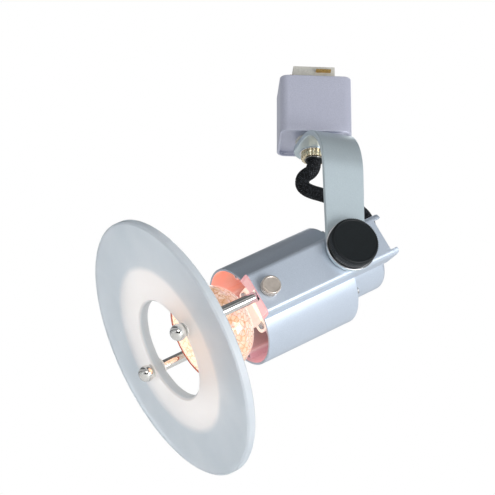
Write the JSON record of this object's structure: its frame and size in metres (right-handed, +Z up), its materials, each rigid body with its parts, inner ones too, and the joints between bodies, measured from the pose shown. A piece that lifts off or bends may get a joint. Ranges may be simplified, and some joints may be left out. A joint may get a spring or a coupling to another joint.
{
  "type": "track spotlight",
  "caption": "Track-mounted gallery spotlight: plug-in adapter, painted strap bracket, tilting barrel with a reflector lamp, and a frosted glass disc on sliding chrome rods.",
  "frame": {"origin": "middle of the adapter's top face, which seats against the underside of the track, on the vertical swivel axis", "axes": "+X along the track, +Y across the track towards the side where the latch tab is, +Z up into the track"},
  "size_m": [0.1716, 0.1499, 0.2606],
  "materials": {
    "adapter_paint": "fine metallic paint, satin",
    "contact_plastic": "moulded, matt",
    "contact_brass": "bare, satin",
    "small_steel": "bright zinc plate",
    "latch_metal": "nickel plate, satin",
    "spring_steel": "bare spring wire",
    "nylon": "moulded nylon",
    "nipple_steel": "zinc plate",
    "bracket_paint": "metallic paint, satin",
    "nut_brass": "pale brass, satin",
    "washer_chrome": "polished",
    "black_plastic": "moulded, satin",
    "cord_braid": "braided sleeve",
    "fibre": "vulcanised fibre",
    "head_paint": "metallic paint, satin",
    "guide_metal": "machined, satin",
    "polished_chrome": "polished",
    "knurled_nickel": "nickel, knurled side",
    "soft_washer": "translucent silicone",
    "frosted_glass": "acid-etched, satin",
    "dichroic_glass": "faceted, mirror-coated",
    "clear_glass": "clear, polished",
    "filament": "drawn wire",
    "ceramic": "fired steatite"
  },
  "bodies": {
    "adapter": {"adapter_housing": "adapter_paint", "contact_base": "contact_plastic", "line_contact": "contact_brass", "neutral_contact": "contact_brass", "ground_contact": "contact_brass", "housing_screws": "small_steel", "latch_spring": "spring_steel", "upper_swivel_washer": "nylon", "lower_swivel_washer": "nylon"},
    "latch": {"track_latch": "latch_metal"},
    "bracket": {"stem_nipple": "nipple_steel", "spacer_collar": "nipple_steel", "strap_bracket": "bracket_paint", "lock_washer": "washer_chrome", "lock_nut": "nut_brass", "cord_bushing": "black_plastic", "knob_washer": "washer_chrome", "supply_cord": "cord_braid"},
    "knob": {"clamp_knob": "black_plastic", "knob_insert": "contact_brass", "knob_stud": "small_steel"},
    "head": {"friction_disc": "fibre", "web_nut": "small_steel", "spine_channel": "head_paint", "near_rod_guide": "guide_metal", "guide_block_screws": "small_steel", "far_rod_guide": "head_paint", "far_guide_screws": "small_steel", "lamp_barrel": "head_paint", "rear_end_plate": "head_paint", "end_plate_screws": "small_steel", "rear_cup": "head_paint", "head_grommet": "black_plastic", "socket_bracket": "small_steel", "lamp_socket": "ceramic", "socket_screws": "small_steel", "lamp_reflector": "dichroic_glass", "lamp_cover": "clear_glass", "lamp_capsule": "clear_glass", "lamp_filament": "filament", "lamp_base": "ceramic", "lamp_pins": "small_steel"},
    "thumb": {"thumbscrew": "knurled_nickel"},
    "carriage": {"near_rod": "polished_chrome", "far_rod": "polished_chrome", "rear_soft_washers": "soft_washer", "front_soft_washers": "soft_washer", "ball_nuts": "polished_chrome", "glass_disc": "frosted_glass"}
  },
  "joints": [
    {"name": "swivel", "type": "hinge", "parent": "adapter", "child": "bracket", "pos_m": [0, 0, 0], "axis": [0, 0, 1], "range_deg": [-175, 175]},
    {"name": "tilt", "type": "hinge", "parent": "bracket", "child": "head", "pos_m": [0.01583, -0.04903, -0.1247], "axis": [0.2419, -0.9703, 0], "range_deg": [-42, 68], "deforming": ["supply_cord"]},
    {"name": "knob_turn", "type": "hinge", "parent": "bracket", "child": "knob", "pos_m": [0.01583, -0.04903, -0.1247], "axis": [0.2419, -0.9703, 0], "range_deg": [0, 360]},
    {"name": "thumbscrew_turn", "type": "hinge", "parent": "head", "child": "thumb", "pos_m": [-0.03058, -0.05647, -0.15469], "axis": [0.2419, -0.9703, 0], "range_deg": [0, 360]},
    {"name": "diffuser_slide", "type": "slide", "parent": "head", "child": "carriage", "axis": [-0.8264, -0.206, -0.524], "range_m": [-0.02, 0.012]},
    {"name": "latch_release", "type": "slide", "parent": "adapter", "child": "latch", "axis": [0, 0, -1], "range_m": [0, 0.004], "stiffness_N_per_m": 400, "springref_m": -0.002, "deforming": ["latch_spring"]}
  ]
}
